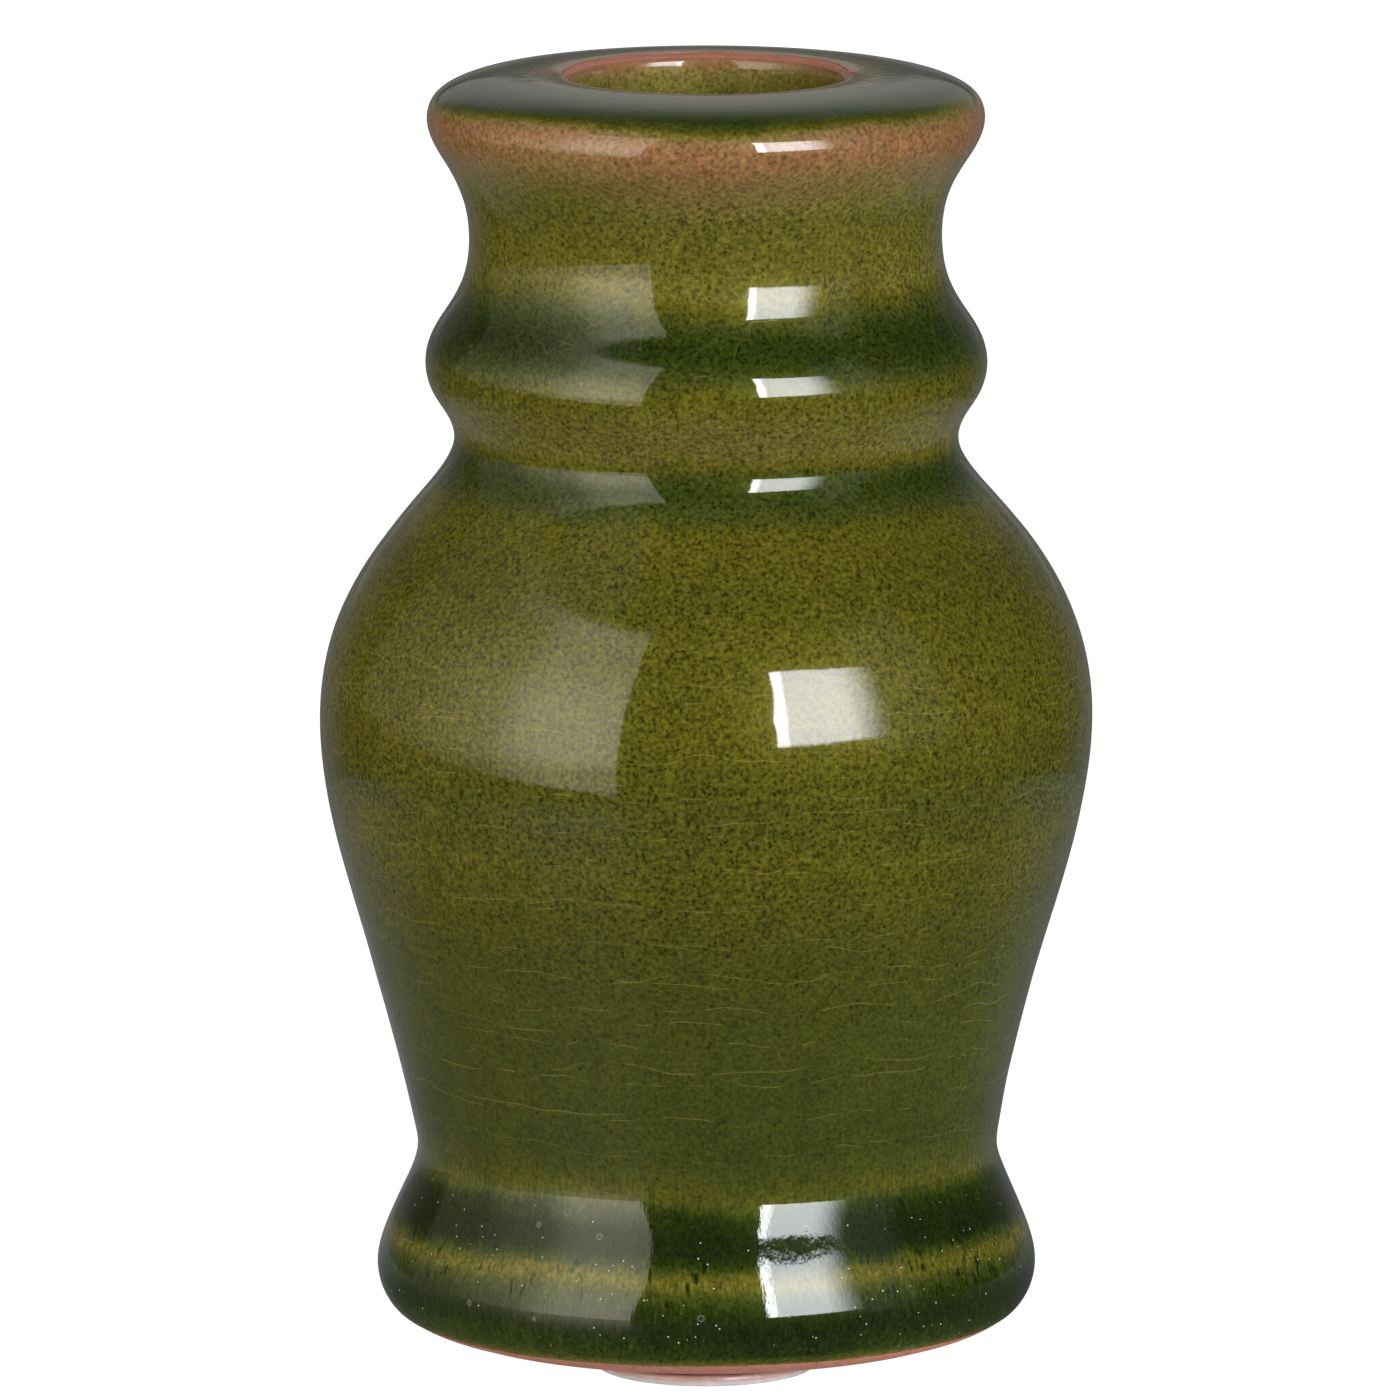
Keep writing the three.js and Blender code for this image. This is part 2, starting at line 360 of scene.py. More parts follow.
def make_outer_glaze():
    face = rows_between(FOOT_LINE, MOUTH_LINE, foot_line, mouth_line, FACE_STEP)
    back = rows_between(FOOT_LINE, MOUTH_LINE, foot_line, mouth_line, BACK_STEP)[-2:0:-1]
    skin = rippled(on_vase(face, glaze_depth(face)))
    grid = np.concatenate([skin, on_vase(back, clay_depth(back))])
    edge = np.minimum(face - foot_line, mouth_line - face)
    glaze = np.concatenate([glaze_on(skin, face, glaze_stops, edge), np.ones_like(back)])
    return make_mesh("outer_glaze_fine", grid, glaze, looped=True)


FLOOR_EDGE = LENGTH - 0.5 * MM     # the last row before the axis


def make_inner_glaze():
    face = rows_between(LINING_LINE, FLOOR_EDGE, lining_line, None, INSIDE_STEP)
    back = rows_between(LINING_LINE, FLOOR_EDGE, lining_line, None, BACK_STEP)[:0:-1]
    skin = on_vase(face, glaze_depth(face))
    grid = np.concatenate([on_vase(back, clay_depth(back)), skin])
    middle = hand_made(np.array([[0, 0, clay_floor], [0, 0, OUTLINE[-1, 1]]]))
    glaze = np.concatenate([np.ones_like(back), glaze_on(skin, face, lining_stops, face - lining_line)])
    return make_mesh("inner_glaze_fine", grid, glaze, caps=middle)


UNDER_RINGS = 14           # rings of the flat underside
FOOT_CORNER = 0.5 * MM     # the clay's skin meets the underside's edge over this length


def make_clay():
    foot_end = FOOT_LINE + EDGE
    ring_start, ring_end = MOUTH_LINE - EDGE, LINING_LINE + EDGE
    places = spaced(
        (0, foot_end, EDGE_STEP),
        (foot_end, ring_start, BACK_STEP),
        (ring_start, ring_end, EDGE_STEP),
        (ring_end, FLOOR_EDGE, BACK_STEP),
    )
    along = np.repeat(places[:, None], COLUMNS, axis=1)
    skin = on_vase(along, clay_depth(along) * np.clip(along / FOOT_CORNER, 0, 1))
    radii = np.linspace(OUTLINE[0, 0], 0, UNDER_RINGS + 2)[1:-1][::-1]
    under = np.stack([
        np.outer(radii, np.cos(AROUND)),
        np.outer(radii, np.sin(AROUND)),
        np.full((len(radii), COLUMNS), BASE_Z),
    ], axis=-1)
    middle = hand_made(np.array([[0, 0, BASE_Z], [0, 0, clay_floor]]))
    return make_mesh("clay_body_fine", np.concatenate([under, skin]), caps=middle)


DISC_COLUMNS = 120         # points round a pad


def disc(name, node, profile, edge_waves):
    """A round piece in the place of a CAD node. The profile holds shares of the radius and the height."""
    low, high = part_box(node)
    centre = (low + high) / 2
    radius = (high.x - low.x) / 2
    columns = np.arange(DISC_COLUMNS) * 2 * math.pi / DISC_COLUMNS
    rows = np.array(profile)
    reach = np.outer(rows[:, 0], np.ones_like(columns)) * radius
    reach = reach * (1 + waves(columns, *edge_waves) * rows[:, :1] ** 4)
    height = np.repeat((low.z + rows[:, 1] * (high.z - low.z))[:, None], len(columns), axis=1)
    across = centre.x + reach * np.cos(columns)
    away = centre.y + reach * np.sin(columns)
    grid = np.stack([across, away, height], axis=-1)
    caps = [[centre.x, centre.y, low.z], [centre.x, centre.y, high.z]]
    return make_mesh(name, grid, caps=np.array(caps))


PAD_PROFILE = [(0.5, 0), (0.8, 0), (0.93, 0), (0.955, 0.012), (0.975, 0.06), (0.99, 0.16), (1, 0.34),
               (1, 0.62), (0.997, 0.84), (0.989, 0.95), (0.97, 1), (0.8, 1), (0.5, 1)]
ADHESIVE_PROFILE = [(0.5, 0), (0.9, 0), (0.99, 0), (1, 0.2), (1, 0.8), (0.99, 1), (0.9, 1), (0.5, 1)]
PAD_WAVES = [(3, 0.0015, 0.5), (7, 0.001, 2.0)]
ADHESIVE_WAVES = [(2, 0.004, 1.0), (9, 0.003, 0.2), (23, 0.0025, 1.4)]

# ---- Materials -----------------------------------------------------------------------------------


class Graph:
    """Adds shader nodes by short calls. A value is a number, a tuple or the output of another node. In
    materials, sizes and heights are in millimetres."""

    def __init__(self, tree):
        self.tree = tree

    def put(self, socket, value):
        if isinstance(value, bpy.types.NodeSocket):
            self.tree.links.new(value, socket)
        else:
            socket.default_value = value

    def node(self, kind, inputs=None, **settings):
        made = self.tree.nodes.new("ShaderNode" + kind)
        for key, value in settings.items():
            setattr(made, key, value)
        for key, value in (inputs or {}).items():
            self.put(made.inputs[key], value)
        return made

    def math(self, operation, *values):
        return self.node("Math", dict(enumerate(values)), operation=operation).outputs[0]

    def ramp(self, value, start, end, low=0.0, high=1.0):
        """Goes smoothly from low to high as the value goes from start to end, and stays there."""
        inputs = {"Value": value, "From Min": start, "From Max": end, "To Min": low, "To Max": high}
        return self.node("MapRange", inputs, interpolation_type="SMOOTHSTEP").outputs[0]

    def straight(self, value, first, second):
        """The straight line through two (value, result) points."""
        inputs = {"Value": value, "From Min": first[0], "From Max": second[0], "To Min": first[1],
                  "To Max": second[1]}
        return self.node("MapRange", inputs, clamp=False).outputs[0]

    def through(self, value, start, end, stops):
        """Straight lines between (value, result) stops from start to end."""
        tallest = max(result for _, result in stops)
        ramp = self.node("ValToRGB", {"Fac": self.straight(value, (start, 0.0), (end, 1.0))})
        marks = ramp.color_ramp.elements
        for i, (at, result) in enumerate(stops):
            mark = marks[i] if i < 2 else marks.new(1.0)
            mark.position = (at - start) / (end - start)
            mark.color = [result / tallest] * 3 + [1]
        return self.math("MULTIPLY", ramp.outputs[0], float(tallest))

    def where(self, x=1.0, y=1.0, z=1.0):
        """The piece's own coordinates in millimetres, each axis scaled by a factor."""
        place = self.node("TexCoord").outputs["Object"]
        factors = (1000.0 * x, 1000.0 * y, 1000.0 * z)
        return self.node("VectorMath", {0: place, 1: factors}, operation="MULTIPLY").outputs[0]

    def parts(self, vector):
        """The x, y and z of a vector, or the red, green and blue of a colour."""
        return self.node("SeparateXYZ", {0: vector}).outputs

    def height(self):
        return self.parts(self.where())[2]

    def noise(self, where, size, detail=2.0, roughness=0.5):
        """Noise about 0.5, with features `size` across."""
        inputs = {"Vector": where, "Scale": 1 / size, "Detail": detail, "Roughness": roughness}
        return self.node("TexNoise", inputs).outputs[0]

    def cells(self, where, size, feature="F1", randomness=1.0):
        """A Voronoi texture of cells `size` across."""
        inputs = {"Vector": where, "Scale": 1 / size, "Randomness": randomness}
        return self.node("TexVoronoi", inputs, feature=feature).outputs

    def bent(self, where, size, amount):
        """The coordinates, pushed about by noise."""
        push = self.node("TexNoise", {"Vector": where, "Scale": 1 / size, "Detail": 1.0}).outputs["Color"]
        push = self.node("VectorMath", {0: push, "Scale": amount}, operation="SCALE").outputs[0]
        return self.node("VectorMath", {0: where, 1: push}, operation="ADD").outputs[0]

    def colours(self, value, stops):
        """Colours by value, from (value, colour) stops that start at 0."""
        last = stops[-1][0]
        ramp = self.node("ValToRGB", {"Fac": self.product(value, 1 / last)})
        marks = ramp.color_ramp.elements
        for i, (at, colour) in enumerate(stops):
            mark = marks[i] if i < 2 else marks.new(1.0)
            mark.position = at / last
            mark.color = (*colour, 1)
        return ramp.outputs[0]

    def mix(self, factor, a, b, blend="MIX"):
        made = self.node("Mix", data_type="RGBA", blend_type=blend)
        self.put(made.inputs[0], factor)
        self.put(made.inputs[6], a)
        self.put(made.inputs[7], b)
        return made.outputs[2]

    def sum(self, first, *rest):
        for value in rest:
            first = self.math("ADD", first, value)
        return first

    def product(self, first, *rest):
        for value in rest:
            first = self.math("MULTIPLY", first, value)
        return first

    def swing(self, value, size):
        """From noise about 0.5 to a change of up to about `size` either way."""
        return self.product(self.math("SUBTRACT", value, 0.5), 2.0 * size)

    def emboss(self, relief, *sockets):
        """Puts the normals of a relief, in millimetres, in the sockets."""
        bump = self.node("Bump", {"Height": relief, "Strength": 1.0, "Distance": 0.001})
        for socket in sockets:
            self.put(socket, bump.outputs[0])


def new_material(name):
    material = bpy.data.materials.new(name)
    material.use_nodes = True
    shader = material.node_tree.nodes["Principled BSDF"]
    return material, Graph(material.node_tree), shader


# The colour of the glaze over the clay as it gets thicker, from bare clay to the darkest pool.
GLAZE_COLOURS = [
    (0.0, (0.38, 0.16, 0.1121)), (0.17, (0.285, 0.14, 0.0566)), (0.35, (0.225, 0.152, 0.0472)),
    (0.59, (0.16, 0.141, 0.0248)), (0.71, (0.13, 0.118, 0.0153)), (0.86, (0.1, 0.092, 0.0077)),
    (1.06, (0.07, 0.076, 0.0094)), (1.28, (0.048, 0.06, 0.0094)), (1.51, (0.032, 0.047, 0.0047)),
    (1.72, (0.022, 0.034, 0.0035)), (1.95, (0.015, 0.022, 0.0035)), (2.5, (0.007, 0.013, 0.0035)),
]
# The tint of the soft light that comes back from inside it.
GLOW_COLOURS = [(0.0, (1.0, 0.8, 0.5)), (0.6, (1.0, 0.9, 0.2)), (1.0, (0.75, 0.75, 0.1)),
                (1.5, (0.3, 0.38, 0.05)), (2.5, (0.1, 0.16, 0.04))]
CRAZING = (0.42, 0.36, 0.10, 1)    # the colour of a crack
RING_AND_GLINT_COLOUR = (0.50, 0.55, 0.50, 1)      # the colour of a bubble's ring, and of the painted glint on a pinprick
GLAZE_IOR = 1.5


def crazing_in(graph, where, height):
    """Long, nearly level cracks low down and a small net on the neck. Both show only in places."""

    def level_cracks(gap, bend_size, bend, shown_size):
        bends = graph.swing(graph.noise(where, bend_size, 2.0), bend)
        turns = graph.sum(graph.product(height, 1 / gap), bends)
        off = graph.math("ABSOLUTE", graph.math("SUBTRACT", graph.math("FRACT", turns), 0.5))
        line = graph.ramp(off, 0.06 / gap, 0.025 / gap)
        return graph.product(line, graph.ramp(graph.noise(where, shown_size, 2.0), 0.47, 0.58))

    level = graph.math("MAXIMUM", level_cracks(3.4, 13.0, 0.7, 4.0), level_cracks(2.9, 7.0, 0.45, 2.5))
    level = graph.product(level, graph.ramp(height, 64.0, 54.0), graph.ramp(height, 16.0, 21.0))
    edge = graph.cells(graph.bent(where, 2.5, 0.7), 2.4, "DISTANCE_TO_EDGE")["Distance"]
    shown = graph.ramp(graph.noise(where, 2.0), 0.46, 0.6)
    net = graph.product(graph.ramp(edge, 0.018, 0.009), shown, 0.6)
    net = graph.product(net, graph.ramp(height, 70.0, 74.0), graph.ramp(height, 98.5, 97.0))
    return graph.product(graph.math("MAXIMUM", level, net), 0.17)


def rings_and_glints_in(graph, where, height):
    """Rings of bubbles, and pinpricks in the thick glaze of the foot that are painted bright as glints."""
    thick = graph.product(graph.ramp(height, 2.6, 3.4), graph.ramp(height, 14.5, 13.0))
    bubble = graph.cells(where, 2.6)
    chosen = graph.ramp(graph.parts(bubble["Color"])[0], 0.80, 0.81)
    size = bubble["Distance"]
    ring = graph.product(graph.ramp(size, 0.075, 0.095), graph.ramp(size, 0.135, 0.11), chosen)
    points = graph.cells(where, 0.7)
    some = graph.ramp(graph.noise(where, 3.0, 1.0), 0.4, 0.6, 0.2, 0.6)
    some = graph.math("LESS_THAN", graph.parts(points["Color"])[1], some)
    # Painted glints: bright dots where the pinpricks would catch the light.
    painted_glint = graph.product(graph.ramp(points["Distance"], 0.12, 0.07), some)
    return graph.product(graph.math("MAXIMUM", graph.product(ring, 0.16), painted_glint), thick)


def shade_in(graph, where, height):
    """A fine mottle all over, and dark specks that are densest from the neck to the belly."""
    strength = graph.product(
        graph.ramp(height, 25.0, 46.0, 0.62, 1.25),
        graph.ramp(height, 60.0, 72.0, 1.0, 0.85),
        graph.ramp(height, 91.0, 94.0, 1.0, 0.78),
        graph.ramp(height, 99.6, 98.6, 0.3, 1.0),
    )
    mottle = graph.product(graph.swing(graph.noise(where, 0.34, 1.0, 0.6), 0.95), strength)
    blotch = graph.swing(graph.noise(where, 1.6, 2.0), 0.12)
    dots = graph.cells(where, 0.42)
    chosen = graph.ramp(graph.parts(dots["Color"])[0], 0.42, 0.5)
    specks = graph.product(graph.ramp(dots["Distance"], 0.36, 0.16), chosen)
    specks = graph.product(specks, strength, graph.ramp(height, 91.0, 94.0, -0.46, -0.2))
    return graph.math("MAXIMUM", graph.sum(0.80, mottle, blotch, specks), 0.2)


def gloss_in(graph):
    """From behind, the level top of the lip would mirror nothing but the bright softbox, so it is less
    glossy from there. Everywhere else the gloss is full, which is 1."""
    surface = graph.node("NewGeometry").outputs
    from_behind = graph.ramp(graph.parts(surface["Incoming"])[1], -0.3, 0.3)
    level_top = graph.ramp(graph.parts(surface["Normal"])[2], 0.9, 0.985)
    return graph.sum(1.0, graph.product(from_behind, level_top, -1.0))


def glazed(name, roughness):
    """Transparent green glaze over red clay. Its depth of colour comes from its thickness."""
    material, graph, shader = new_material(name)
    where = graph.where()
    height = graph.height()

    # It is cloudy all over. Low on the vase it ran in fine vertical streaks, with dark flecks on the
    # widest part of the foot.
    thickness = graph.node("Attribute", attribute_name="glaze").outputs["Fac"]
    cloud = graph.swing(graph.noise(where, 4.5, 3.0), 0.13)
    low = graph.ramp(height, 22.0, 13.0)
    streaks = graph.swing(graph.noise(graph.where(z=0.16), 0.25, 2.0), 0.6)
    flecks = graph.ramp(graph.noise(graph.where(z=0.2), 0.55, 1.0), 0.60, 0.76)
    on_crest = graph.product(graph.ramp(height, 6.4, 7.6), graph.ramp(height, 11.4, 10.2))
    deep = graph.product(thickness, graph.sum(1.0, cloud))
    deep = graph.sum(deep, graph.product(streaks, low), graph.product(flecks, on_crest))
    deep = graph.math("MAXIMUM", deep, 0.0)

    colour = graph.colours(deep, GLAZE_COLOURS)
    hue = graph.sum(0.5, graph.swing(graph.noise(where, 1.3, 2.0), 0.02))
    shade = shade_in(graph, where, height)
    colour = graph.node("HueSaturation", {"Hue": hue, "Value": shade, "Color": colour}).outputs[0]
    crazing = crazing_in(graph, where, height)
    colour = graph.mix(crazing, colour, CRAZING)
    marks = rings_and_glints_in(graph, where, height)
    # Lighter rings of bubbles, and painted glints on the pinpricks.
    colour = graph.mix(graph.product(marks, 0.8), colour, RING_AND_GLINT_COLOUR)
    graph.put(shader.inputs["Base Color"], colour)

    gloss = gloss_in(graph)
    dull = graph.ramp(graph.noise(where, 0.4, 2.0), 0.55, 0.8)
    graph.put(shader.inputs["Coat Weight"], graph.sum(graph.product(gloss, 0.97), 0.03))
    graph.put(shader.inputs["Coat Roughness"], graph.sum(roughness, graph.product(dull, 0.06)))
    graph.put(shader.inputs["Specular IOR Level"], graph.product(gloss, 0.22))
    graph.put(shader.inputs["Specular Tint"], graph.colours(deep, GLOW_COLOURS))
    shader.inputs["Coat IOR"].default_value = GLAZE_IOR
    shader.inputs["Roughness"].default_value = 0.34

    # The fired surface is very slightly uneven, more so on the top of the lip and in the streaks. Cracks
    # are sunk, and bubbles stand up.
    rim = graph.ramp(height, 99.0, 99.6)
    relief = graph.sum(
        graph.product(graph.noise(where, 2.2, 2.0), 0.006),
        graph.product(graph.noise(where, 0.35, 2.0), 0.001),
        graph.product(graph.noise(where, 1.0, 2.0), rim, 0.012),
        graph.product(streaks, low, 0.003),
        graph.product(crazing, -0.004),
        graph.product(marks, 0.01),
    )
    graph.emboss(relief, shader.inputs["Normal"], shader.inputs["Coat Normal"])
    return material


def bare_clay(name):
    material, graph, shader = new_material(name)
    where = graph.where()
    blotch = graph.noise(where, 1.1, 4.0, 0.6)
    colour = graph.mix(blotch, (0.23, 0.075, 0.045, 1), (0.47, 0.185, 0.115, 1))
    sand = graph.ramp(graph.noise(where, 0.18, 1.0), 0.62, 0.72)
    colour = graph.mix(graph.product(sand, 0.5), colour, (0.52, 0.29, 0.2, 1))
    iron = graph.ramp(graph.noise(where, 0.3, 1.0), 0.66, 0.74)
    colour = graph.mix(graph.product(iron, 0.6), colour, (0.10, 0.035, 0.02, 1))
    graph.put(shader.inputs["Base Color"], colour)
    shader.inputs["Roughness"].default_value = 0.75
    relief = graph.sum(graph.product(graph.noise(where, 0.25, 3.0), 0.03), graph.product(iron, -0.02))
    graph.emboss(relief, shader.inputs["Normal"])
    return material


def silicone(name):
    """The clear pads look pale. The pink of their upper part is painted light from the clay above them."""
    material, graph, shader = new_material(name)
    where = graph.where()
    blotch = graph.noise(where, 1.6, 3.0)
    # Painted light: the upper part is tinted pink, as the clay above would light it.
    level = graph.sum(graph.height(), graph.swing(blotch, 0.4))
    colour = graph.mix(graph.ramp(level, 0.15, 0.8), (0.42, 0.37, 0.355, 1), (0.36, 0.215, 0.175, 1))
    colour = graph.mix(graph.product(graph.ramp(blotch, 0.5, 0.7), 0.4), colour, (0.56, 0.51, 0.49, 1))
    graph.put(shader.inputs["Base Color"], colour)
    shader.inputs["Subsurface Weight"].default_value = 0.6
    shader.inputs["Subsurface Radius"].default_value = (1.0, 0.7, 0.6)
    shader.inputs["Subsurface Scale"].default_value = 0.002
    shader.inputs["Roughness"].default_value = 0.22
    relief = graph.product(graph.noise(where, 1.2, 2.0), 0.01)
    graph.emboss(relief, shader.inputs["Normal"])
    return material


# The film under each pad is dark brown, so a dark line shows where a pad meets the foot.
def dark_film(name):
    material, graph, shader = new_material(name)
    where = graph.where()
    colour = graph.mix(graph.noise(where, 0.6, 3.0), (0.10, 0.045, 0.03, 1), (0.25, 0.13, 0.09, 1))
    graph.put(shader.inputs["Base Color"], colour)
    shader.inputs["Roughness"].default_value = 0.5
    relief = graph.product(graph.noise(where, 0.4, 2.0), 0.02)
    graph.emboss(relief, shader.inputs["Normal"])
    return material


clay_material = bare_clay("bare_clay")
glaze_material = glazed("green_glaze", 0.035)
lining_material = glazed("lining_glaze", 0.06)
pad_material = silicone("clear_silicone")
adhesive_material = dark_film("adhesive")

# ---- Pieces --------------------------------------------------------------------------------------

stands_for(make_clay(), "clay_body", clay_material)
stands_for(make_outer_glaze(), "outer_glaze", glaze_material)
stands_for(make_inner_glaze(), "inner_glaze", lining_material)
for place in ("front", "rear_right", "rear_left"):
    pad = disc(f"foot_pad_{place}_fine", f"foot_pad_{place}", PAD_PROFILE, PAD_WAVES)
    stands_for(pad, f"foot_pad_{place}", pad_material)
    film = disc(f"pad_adhesive_{place}_fine", f"pad_adhesive_{place}", ADHESIVE_PROFILE, ADHESIVE_WAVES)
    stands_for(film, f"pad_adhesive_{place}", adhesive_material)

# ---- Stage ---------------------------------------------------------------------------------------

FLOOR_RADIUS = 30.0
TABLE_RADIUS = 0.2
TABLE_DROP = 0.0005        # the table lies this far below the floor


def flat_disc(name, radius, height, segments=128):
    mesh = bpy.data.meshes.new(name)
    turn = [2 * math.pi * i / segments for i in range(segments)]
    edge = [(radius * math.cos(angle), radius * math.sin(angle), height) for angle in turn]
    mesh.from_pydata(edge, [], [list(range(segments))])
    piece = bpy.data.objects.new(name, mesh)
    bpy.context.scene.collection.objects.link(piece)
    return piece


def make_floor():
    """The camera sees an evenly bright floor. The vase doesn't see it."""
    material, graph, shader = new_material("floor")
    matt = graph.node("BsdfDiffuse", {"Color": (0.1, 0.1, 0.1, 1)}).outputs[0]
    glow = graph.node("Emission", {"Strength": 1.0}).outputs[0]
    surface = graph.node("AddShader", {0: matt, 1: glow}).outputs[0]
    graph.put(graph.tree.nodes["Material Output"].inputs["Surface"], surface)
    graph.tree.nodes.remove(shader)
    floor = flat_disc("floor", FLOOR_RADIUS, 0)
    floor.data.materials.append(material)
    floor.visible_diffuse = False
    floor.visible_glossy = False
    floor.visible_shadow = False


def make_table():
    """The vase sees a dark table. It mirrors the lights on the left, it shines on what is matt close to
    the foot, and it gets lighter towards the back. The camera doesn't see it."""
    material, graph, shader = new_material("table")
    x, y, z = graph.parts(graph.node("TexCoord").outputs["Object"])
    reach = graph.math("SQRT", graph.sum(graph.product(x, x), graph.product(y, y)))
    near = graph.ramp(reach, 0.026, 0.05, 1.0, 0.0)
    mirror = graph.product(graph.ramp(reach, 0.09, 0.19, 1.0, 0.0), graph.ramp(x, -0.02, 0.005, 0.5, 0.0))
    on_matt = graph.product(graph.node("LightPath").outputs["Is Diffuse Ray"], near, 0.75)
    haze = graph.ramp(y, -0.02, 0.06, 0.03, 0.12)
    mirrored = graph.product(graph.node("LightPath").outputs["Is Glossy Ray"], haze)
    graph.put(shader.inputs["Specular IOR Level"], mirror)
    graph.put(shader.inputs["Emission Strength"], graph.sum(on_matt, mirrored))
    shader.inputs["Emission Color"].default_value = (0.92, 1.0, 1.06, 1)
    shader.inputs["Base Color"].default_value = (0.01, 0.01, 0.01, 1)
    shader.inputs["Roughness"].default_value = 0.22
    shader.inputs["IOR"].default_value = 1.45
    table = flat_disc("table", TABLE_RADIUS, -TABLE_DROP)
    table.data.materials.append(material)
    table.visible_camera = False
    table.visible_transmission = False
    table.visible_shadow = False


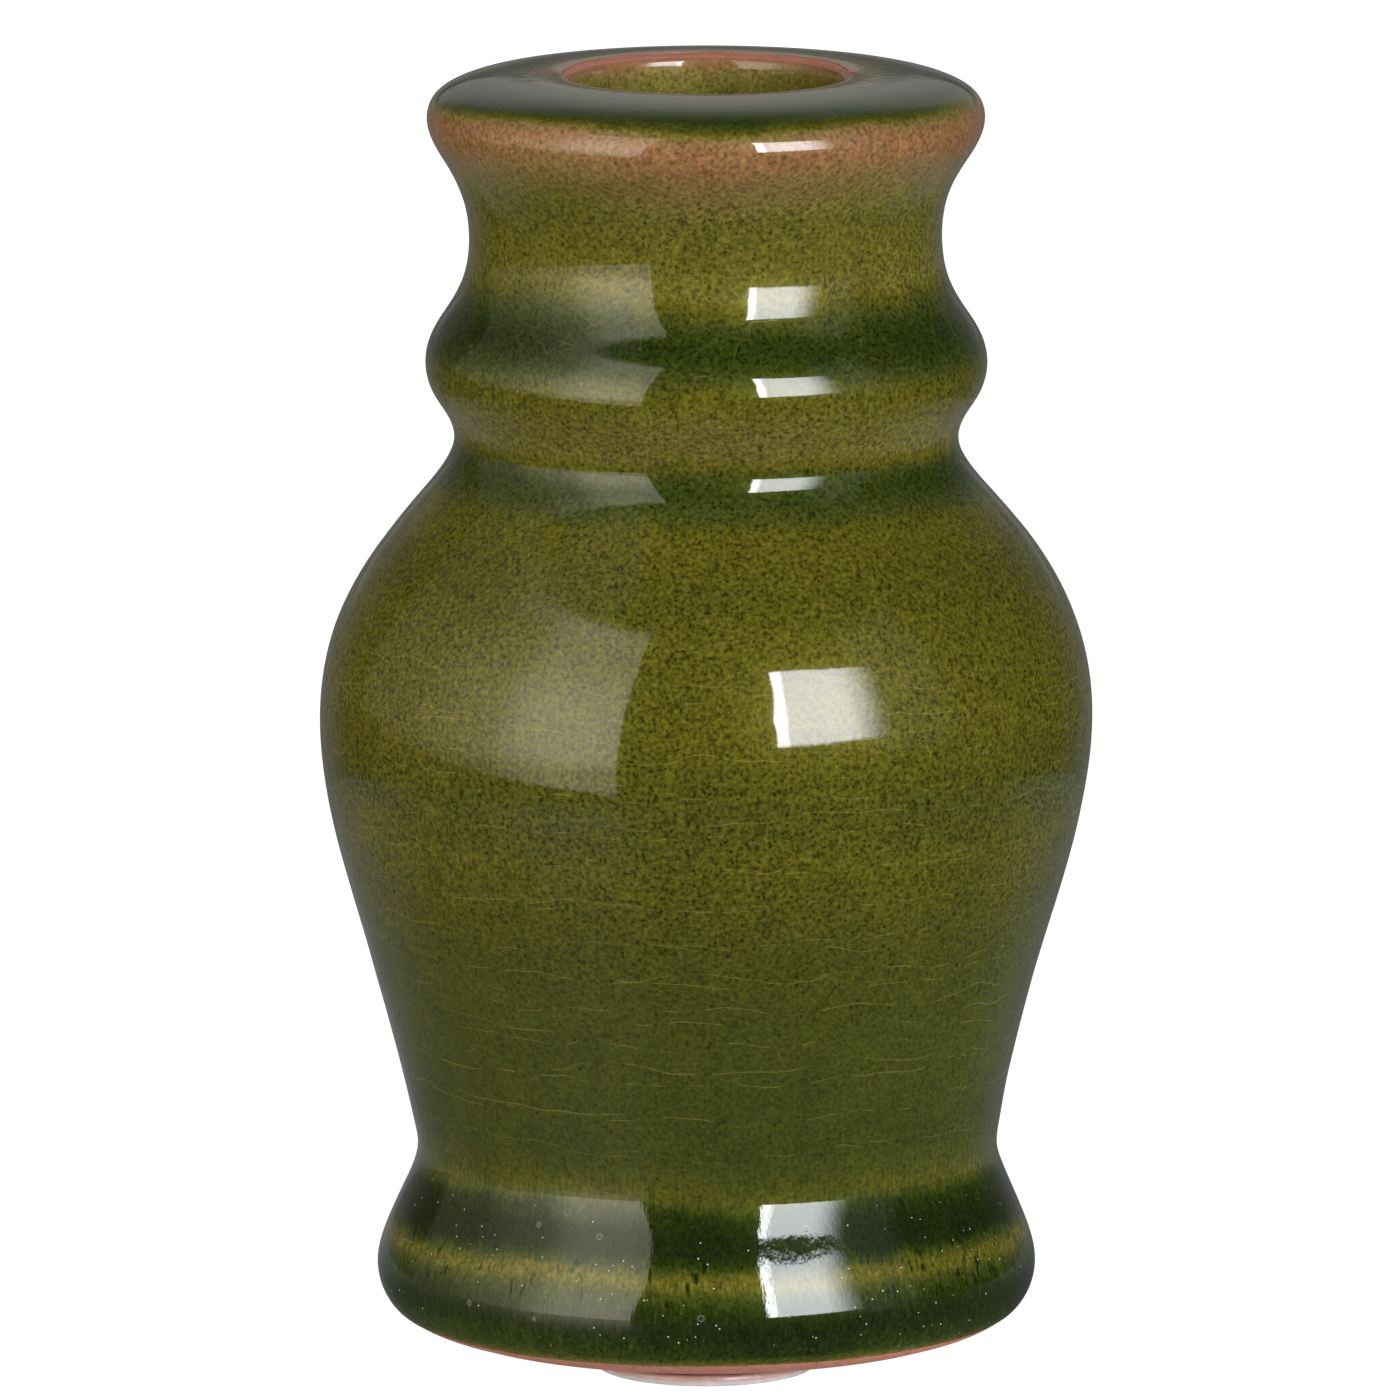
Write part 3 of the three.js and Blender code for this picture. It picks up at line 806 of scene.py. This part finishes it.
def build_world():
    """The studio as the vase sees it, while the camera sees plain white. Azimuth is in degrees to the
    right of the camera, elevation in degrees above the horizon. A strength of 1 is as bright as the
    white."""
    world = bpy.data.worlds.new("studio")
    bpy.context.scene.world = world
    world.use_nodes = True
    world.node_tree.nodes.clear()
    graph = Graph(world.node_tree)
    direction = graph.node("TexCoord").outputs["Generated"]
    x, y, z = graph.parts(direction)
    azimuth = graph.math("DEGREES", graph.math("ARCTAN2", x, graph.math("MULTIPLY", y, -1.0)))
    elevation = graph.math("DEGREES", graph.math("ARCSINE", z))
    from_front = graph.math("ABSOLUTE", azimuth)

    def edge(value, place, fade):
        """From 0 to 1 over a fade about a place."""
        start = graph.math("SUBTRACT", place, fade / 2)
        end = graph.math("ADD", place, fade / 2)
        return graph.ramp(value, start, end)

    def between(value, start, end, fade_in, fade_out):
        return graph.math("SUBTRACT", edge(value, start, fade_in), edge(value, end, fade_out))

    # A wide softbox on the left, brightest near its near edge and dimmer to the back and the top.
    near_edge = graph.straight(elevation, (-15, -27.5), (45, -23.75))
    low_edge = graph.straight(azimuth, (-126, -2.5), (-27, -15.0))
    left = graph.product(
        graph.through(azimuth, -126, -22, [
            (-126, 0.0), (-124, 0.13), (-112, 0.17), (-100, 0.25), (-91, 0.45), (-83, 0.7), (-75, 0.9),
            (-68, 1.2), (-61, 2.1), (-54, 2.8), (-45, 3.1), (-35, 3.05), (-27, 2.75), (-22, 2.75)]),
        between(azimuth, -130.0, near_edge, 1.0, 0.7),
        between(elevation, low_edge, 50.0, 0.7, 5.0),
        graph.ramp(elevation, -8.0, -1.0, 0.52, 1.05),
        graph.ramp(elevation, 14.0, 40.0, 1.0, 0.6),
    )
    haze = graph.product(
        between(azimuth, -85.0, -42.0, 20.0, 12.0),
        between(elevation, 44.0, 72.0, 8.0, 16.0),
    )

    # A smaller, brighter softbox on the right. A strip of bare tube shows at its near edge, which wavers.
    waver = graph.product(graph.math("SINE", graph.product(elevation, 0.3)), 0.25)
    right_edge = graph.sum(waver, 20.75)
    right_top = graph.straight(azimuth, (21, 35.7), (45, 32.7))
    right = graph.product(
        between(azimuth, right_edge, 49.5, 0.4, 17.0),
        between(elevation, 3.75, right_top, 1.5, 0.8),
        12.3,
    )
    strip = graph.product(
        between(azimuth, right_edge, 24.5, 0.4, 0.6),
        between(elevation, 3.25, 35.4, 0.4, 0.6),
    )
    glow = graph.product(
        between(azimuth, 50.0, 78.0, 8.0, 14.0),
        between(elevation, -2.0, 45.0, 6.0, 10.0),
    )

    # Grey paper behind, darker above the table's edge, and a wall above it.
    straight_behind = graph.ramp(from_front, 152.0, 166.0)
    wall = graph.product(
        graph.through(elevation, 0, 60, [
            (0, 0.2), (3, 0.17), (6, 0.05), (8.2, 0.05), (8.8, 0.3), (30, 0.32), (45, 0.18), (60, 0.03)]),
        straight_behind,
        between(elevation, 0.0, 90.0, 0.5, 0.5),
    )
    hidden = graph.product(straight_behind, graph.ramp(elevation, -1.0, 2.0, 0.0, 0.7))
    paper = graph.product(
        graph.ramp(from_front, 122.0, 168.0),
        between(elevation, -90.0, 40.0, 4.0, 30.0),
        graph.math("SUBTRACT", 1.0, hidden),
    )

    total = 0.01
    for light, strength in ((haze, 0.2), (strip, 14.0), (glow, 0.3), (wall, 1.0), (paper, 0.15)):
        total = graph.sum(total, graph.product(light, strength))
    neutral = graph.node("Background", {"Strength": total}).outputs[0]
    warm = graph.node("Background", {"Color": (1.08, 1.0, 0.86, 1), "Strength": left}).outputs[0]
    cool = graph.node("Background", {"Color": (0.98, 0.99, 1.08, 1), "Strength": right}).outputs[0]
    studio = graph.node("AddShader", {0: neutral, 1: warm}).outputs[0]
    studio = graph.node("AddShader", {0: studio, 1: cool}).outputs[0]
    white = graph.node("Background", {"Strength": 1.0}).outputs[0]
    seen = graph.node("LightPath").outputs["Is Camera Ray"]
    shown = graph.node("MixShader", {0: seen, 1: studio, 2: white}).outputs[0]
    graph.node("OutputWorld", {"Surface": shown})


make_floor()
make_table()
build_world()

# Soft lights that the glaze doesn't mirror: one for the back, and two low at the sides, where the bright
# floor would be. They point at a place near the middle of the vase.
FILL_TARGET = Vector((0, 0, 0.04))
FILLS = [
    # name, place, size, power
    ("back_fill", (0.25, 1.2, 0.55), 1.1, 13.0),
    ("left_fill", (-0.3, 0.0, 0.0), 0.25, 0.6),
    ("right_fill", (0.3, 0.0, -0.16), 0.25, 0.82),
]
for name, place, size, power in FILLS:
    fill = bpy.data.objects.new(name, bpy.data.lights.new(name, "AREA"))
    bpy.context.scene.collection.objects.link(fill)
    fill.data.size = size
    fill.data.energy = power
    fill.location = place
    fill.rotation_euler = (FILL_TARGET - fill.location).to_track_quat("-Z", "Y").to_euler()
    fill.visible_glossy = False
    fill.visible_camera = False

# The photo was taken from well back with a long lens, looking slightly down.
CAMERA_PLACE = (0, -1.3033, 0.2810)
LOOKS_DOWN = 0.174133          # in radians
LENS = 434.2                   # in mm, for a picture 36 mm wide
SHIFT = (-0.0041, -0.0118)     # of the picture, as shares of its width

camera = bpy.data.objects.new("camera", bpy.data.cameras.new("camera"))
bpy.context.scene.collection.objects.link(camera)
bpy.context.scene.camera = camera
camera.location = CAMERA_PLACE
camera.rotation_euler = (math.pi / 2 - LOOKS_DOWN, 0, 0)
camera.data.sensor_width = 36
camera.data.lens = LENS
camera.data.shift_x, camera.data.shift_y = SHIFT
camera.data.clip_end = 50

bpy.context.scene.view_settings.view_transform = "Standard"
